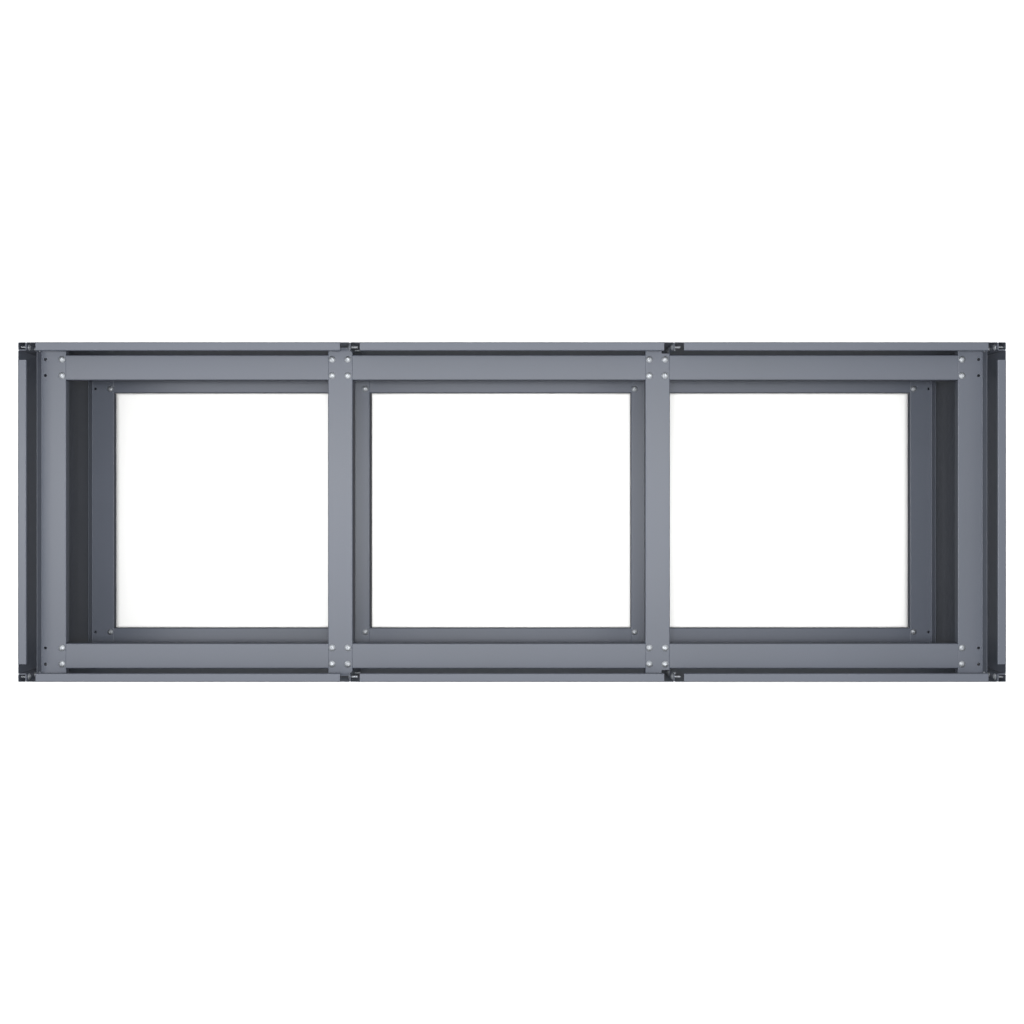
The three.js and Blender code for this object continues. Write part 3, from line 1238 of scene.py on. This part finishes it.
    def recess(self) -> BMesh:
        """Shapes the cutter for a cross recess in a head's crown.

        Returns:
            Two crossed bars.
        """
        s = self.sizes
        shape = bmesh.new()
        floor = s.slot_depth - s.crown
        centre = Matrix.Translation((0, 0, (floor - s.slot_depth) * MM))
        size = Matrix.Diagonal((s.slot_length * MM, s.slot_width * MM, 2 * s.slot_depth * MM, 1))
        for turn in (0.0, math.pi / 2):
            bmesh.ops.create_cube(shape, size=1.0, matrix=centre @ Matrix.Rotation(turn, 4, "Z") @ size)
        return shape

    def bolt(self, name: str, length: float, thread: NodeTree) -> Object:
        """Makes one bolt, the underside of its head on z = 0 and its thread towards +z.

        Args:
            name: The bolt's name.
            length: The thread's length.
            thread: The tree that winds the thread.

        Returns:
            The bolt, as an object for the pattern tree to copy.
        """
        s = self.sizes
        head = scratch_object(f"{name}_head", self.head())
        cutter = cut_away(head, f"{name}_recess", self.recess(), crossed=True)
        soften(head, s.softening, s.soft_angle)
        head_mesh = baked_mesh(head, f"{name}_head", [head, cutter])
        wound = scratch_object(f"{name}_thread", bmesh.new())
        sizes = {
            "Length": length * MM,
            "Pitch": s.pitch * MM,
            "Core Radius": s.core_radius * MM,
            "Thread Depth": s.thread_depth * MM,
            "Finish": self.finish,
        }
        thread_mesh = self.run_tree(thread, wound, sizes, f"{name}_thread")
        shape = bmesh.new()
        shape.from_mesh(head_mesh)
        shape.from_mesh(thread_mesh)
        return self.template(name, shape)

    def ring(self, name: str, corners: int, across: float, bore: float, height: float) -> Object:
        """Makes a nut or a sleeve along +z from z = 0.

        Args:
            name: The ring's name.
            corners: How many flats it has, or 0 if it is round.
            across: Its width across the flats, or its diameter.
            bore: The radius of its bore.
            height: Its height.

        Returns:
            The ring, as an object for the pattern tree to copy.
        """
        sides = 4 * corners or self.sizes.sides
        flat = math.tau / corners if corners else math.tau
        shape = bmesh.new()
        loops = []
        for outside, z in ((True, 0), (True, height), (False, height), (False, 0)):
            loop = []
            for side in range(sides):
                angle = math.tau * side / sides
                lean = (angle + flat / 2) % flat - flat / 2 if corners else 0.0
                radius = across / 2 / math.cos(lean) if outside else bore
                corner = Vector((math.cos(angle) * radius, math.sin(angle) * radius, z))
                loop.append(shape.verts.new(corner * MM))
            loops.append(loop)
        for low, high in zip(loops, [*loops[1:], loops[0]]):
            for side in range(sides):
                after = (side + 1) % sides
                shape.faces.new([low[side], low[after], high[after], high[side]])
        bmesh.ops.recalc_face_normals(shape, faces=shape.faces)
        return self.template(name, shape)

    def template(self, name: str, shape: BMesh) -> Object:
        """Keeps a part as a hidden object whose points know how far they are from its axis.

        Args:
            name: The part's name.
            shape: The part, which is freed.

        Returns:
            The hidden object.
        """
        made = scratch_object(f"template_{name}", shape)
        for edge in made.data.edges:
            edge.use_edge_sharp = False
        made.data.set_sharp_from_angle(angle=math.radians(self.sizes.sharp_angle))
        radius = made.data.attributes.new("radius", "FLOAT", "POINT")
        radius.data.foreach_set("value", [math.hypot(v.co.x, v.co.y) for v in made.data.vertices])
        made.hide_render = True
        return made

    def spread(
        self,
        name: str,
        part: Object,
        places: Sequence[tuple[Vector, Pointing]],
        nodes: Sequence[str] = (),
    ) -> None:
        """Sets a part on every place and adds the result as one piece.

        Args:
            name: The piece's name.
            part: The part, as template() keeps it.
            places: The places of the parts, in millimetres, and the ways they point.
            nodes: The frame's nodes that the piece stands for.
        """
        mesh = bpy.data.meshes.new(f"{name}_places")
        mesh.from_pydata([tuple(at * MM) for at, _ in places], [], [])
        facing = mesh.attributes.new("facing", "FLOAT_VECTOR", "POINT")
        facing.data.foreach_set("vector", [c for _, pointing in places for c in pointing.value])
        points = bpy.data.objects.new(f"{name}_places", mesh)
        bpy.context.scene.collection.objects.link(points)
        values = {"Part": part, "Spin": math.tau, "Seed": self.seed, "Finish": self.finish}
        made = self.run_tree(self.pattern, points, values, name)
        add_piece(name, made, self.finish, nodes)

    def build(self) -> None:
        """Makes the parts and sets them out."""
        s = self.sizes
        self.pattern = self.pattern_tree()
        thread = self.thread_tree()
        short = self.bolt("short_bolt", s.short, thread)
        long = self.bolt("long_bolt", s.long, thread)
        nut = self.ring("nut", 6, s.nut_flats, s.nut_bore, s.nut_height)
        self.joint_bolts(short)
        self.corner_bolts(short, long)
        self.end_panel_bolts(short)
        self.ladder_bolts(short, nut)
        for part in (short, long, nut):
            bpy.data.objects.remove(part)

    def node_place(self, node: str, pointing: Pointing) -> tuple[Vector, Pointing]:
        """Finds a bolt's place, under its head, from the box of the frame's node.

        Args:
            node: The frame's node.
            pointing: The way the bolt points.

        Returns:
            The place, in millimetres, and the way.
        """
        low, high = (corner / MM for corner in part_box(node))
        middle = (low + high) / 2
        if pointing is Pointing.RIGHT:
            return Vector((low.x + self.sizes.crown, middle.y, middle.z)), pointing
        return Vector((high.x - self.sizes.crown, middle.y, middle.z)), pointing

    def joint_bolts(self, short: Object) -> None:
        """Sets the bolts through the joints between the long panels.

        Args:
            short: The short bolt.
        """
        nodes = [
            f"joint_bolt_{wall}_{side}_{height}"
            for wall in ("front", "back")
            for side in SIDES
            for height in ("base", "lower", "upper", "rim")
        ]
        places = [self.node_place(node, Pointing.RIGHT) for node in nodes]
        self.spread("joint_bolts", short, places, nodes)

    def corner_bolts(self, short: Object, long: Object) -> None:
        """Sets the bolts into the corner posts, and the sleeves behind the end members' upstands.

        Args:
            short: The bolt for the rim and the base.
            long: The bolt that also holds an end member.
        """
        s = self.sizes
        outward = {"left": Pointing.LEFT, "right": Pointing.RIGHT}
        corners = [(wall, side) for wall in ("front", "back") for side in SIDES]
        nodes = {f"corner_bolt_{wall}_{side}_rim": outward[side] for wall, side in corners}
        rim = [self.node_place(node, way) for node, way in nodes.items()]
        base = [(Vector((at.x, at.y, self.bolts.rim_drop)), way) for at, way in rim]
        self.spread("corner_bolts_rim", short, rim, list(nodes))
        self.spread("corner_bolts_base", short, base)
        nodes = {
            f"corner_bolt_{wall}_{side}_{level}": outward[side]
            for wall, side in corners
            for level in ("lower", "upper")
        }
        places = [self.node_place(node, way) for node, way in nodes.items()]
        self.spread("corner_bolts_long", long, places, list(nodes))
        start = GAP + self.stock.thickness + GAP
        flange = abs(rim[0][0].x) + GAP
        length = flange - (abs(places[0][0].x) + start) - GAP
        sleeve = self.ring("sleeve", 0, 2 * s.sleeve_radius, s.sleeve_bore, length)
        behind = [(at + Vector(way.value) * start, way) for at, way in places]
        self.spread("spacer_sleeves", sleeve, behind)
        bpy.data.objects.remove(sleeve)

    def end_panel_bolts(self, short: Object) -> None:
        """Sets the bolts from the end panels into the corner posts.

        Args:
            short: The short bolt.
        """
        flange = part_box("end_panel_right")[1].y / MM - self.stock.thickness - GAP
        reach = self.datum.half_length - self.bolts.flange_inset
        places = [
            (Vector((x, way * flange, z)), Pointing.BACK if way > 0 else Pointing.FRONT)
            for x in (-reach, reach)
            for way in (-1, 1)
            for z in self.bolts.end_panel_heights
        ]
        self.spread("end_panel_bolts", short, places)

    def ladder_bolts(self, short: Object, nut: Object) -> None:
        """Sets the bolts through the webs and rails, and the nuts under the rails.

        Args:
            short: The short bolt.
            nut: The nut.
        """
        for level, top in self.datum.ladder_tops.items():
            columns = [-self.bolts.end_column, self.bolts.end_column]
            for side in SIDES:
                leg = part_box(f"{level}_member_middle_{side}")[1].x / MM
                columns += [leg - column for column in self.bolts.middle_columns]
            spots = [(x, y) for x in columns for row in self.bolts.rows for y in (-row, row)]
            heads = [(Vector((x, y, top + GAP)), Pointing.DOWN) for x, y in spots]
            under = top - 2 * self.stock.thickness - 2 * GAP
            nuts = [(Vector((x, y, under)), Pointing.DOWN) for x, y in spots]
            self.spread(f"{level}_ladder_bolts", short, heads)
            self.spread(f"{level}_ladder_nuts", nut, nuts)


# ---- Studio --------------------------------------------------------------------------------------


@dataclass(frozen=True)
class SoftLight:
    """One area light, with its place, aim and size in metres."""

    name: str
    place: tuple[float, float, float]
    aim: tuple[float, float, float]
    size: tuple[float, float]
    watts: float
    glossy: bool = True  # whether glossy surfaces mirror it

    def add(self) -> None:
        """Adds the light to the scene."""
        lamp = bpy.data.lights.new(self.name, "AREA")
        lamp.shape = "RECTANGLE"
        lamp.size, lamp.size_y = self.size
        lamp.energy = self.watts
        made = bpy.data.objects.new(self.name, lamp)
        made.location = self.place
        made.visible_glossy = self.glossy
        towards = Vector(self.aim) - Vector(self.place)
        made.rotation_euler = towards.to_track_quat("-Z", "Y").to_euler()
        bpy.context.scene.collection.objects.link(made)


@dataclass
class Studio:
    """The camera over the bed, the soft lights and the pale floor."""

    floor_finish: Material
    camera_rise: float = 3.346  # metres above the rim
    camera_back: float = 0.030  # metres towards the back wall
    lens_mm: float = 50.0
    sensor_mm: float = 36.0
    frame_shift: float = -0.0124
    floor_radius: float = 40.0
    floor_sides: int = 96
    floor_drop: float = 0.0005  # metres from the bed's foot down to the floor
    sky: str = "ffffff"
    sky_strength: float = 0.75
    ground_strength: float = 0.12  # what gloss mirrors of the ground, in place of the white floor
    ground_rise: tuple[float, float] = (-0.3, -0.05)  # downward slope over which ground turns to sky
    lights: tuple[SoftLight, ...] = (
        SoftLight("overhead", (0.0, 0.05, 4.4), (0.0, 0.05, 0.3), (0.5, 0.4), 215.0, glossy=False),
        SoftLight("strip", (-0.8, 0.04, 4.4), (-0.8, 0.04, 0.3), (4.8, 0.15), 105.0),
        SoftLight("ceiling", (0.0, 0.5, 7.0), (0.0, 0.5, 0.0), (10.0, 8.0), 110.0),
    )

    def build(self) -> None:
        """Adds the camera, lights, sky and floor."""
        self.add_camera()
        for light in self.lights:
            light.add()
        self.add_sky()
        self.add_floor()
        bpy.context.scene.view_settings.view_transform = "Standard"

    def add_camera(self) -> None:
        """Adds the camera, which looks straight down with the back wall at the top of the picture."""
        lens = bpy.data.cameras.new("camera")
        lens.lens = self.lens_mm
        lens.sensor_width = self.sensor_mm
        lens.shift_y = self.frame_shift
        camera = bpy.data.objects.new("camera", lens)
        camera.location = (0.0, self.camera_back, CAD_BOX[1].z + self.camera_rise)
        bpy.context.scene.collection.objects.link(camera)
        bpy.context.scene.camera = camera

    def add_sky(self) -> None:
        """Fills the surroundings with even light above and a dark ground below."""
        world = bpy.data.worlds.new("studio")
        world.use_nodes = True
        tree = world.node_tree
        background = tree.nodes["Background"]
        background.inputs["Color"].default_value = linear(self.sky)
        way = add_node(tree, "ShaderNodeTexCoord").outputs["Generated"]
        slope = add_node(tree, "ShaderNodeSeparateXYZ", inputs={0: way}).outputs["Z"]
        low, high = self.ground_rise
        strength = add_node(
            tree,
            "ShaderNodeMapRange",
            {"interpolation_type": "SMOOTHSTEP"},
            {
                "Value": slope,
                "From Min": low,
                "From Max": high,
                "To Min": self.ground_strength,
                "To Max": self.sky_strength,
            },
        )
        tree.links.new(strength.outputs["Result"], background.inputs["Strength"])
        bpy.context.scene.world = world

    def add_floor(self) -> None:
        """Adds a round floor at the bed's foot, which lights the bed but isn't mirrored in it."""
        shape = bmesh.new()
        bmesh.ops.create_circle(shape, cap_ends=True, segments=self.floor_sides, radius=self.floor_radius)
        floor = scratch_object("floor", shape)
        floor.location.z = CAD_BOX[0].z - self.floor_drop
        floor.data.materials.append(self.floor_finish)
        floor.visible_glossy = False


def main() -> None:
    """Builds the studio, the walls, the ladders and the fasteners."""
    logging.basicConfig(level=logging.INFO, format="%(name)s: %(message)s")
    coat = PowderCoat().material()
    zinc = ZincPlate().material()
    stock = SheetStock()
    bolts = BoltPlan()
    datum = Datum.from_frame()
    Studio(FloorPaint().material()).build()
    WallPanels(stock, bolts, datum, coat).build()
    CornerPosts(stock, bolts, datum, coat).build()
    Ladders(stock, bolts, datum, coat).build()
    Fasteners(stock, bolts, datum, zinc).build()


if __name__ == "__main__":
    main()
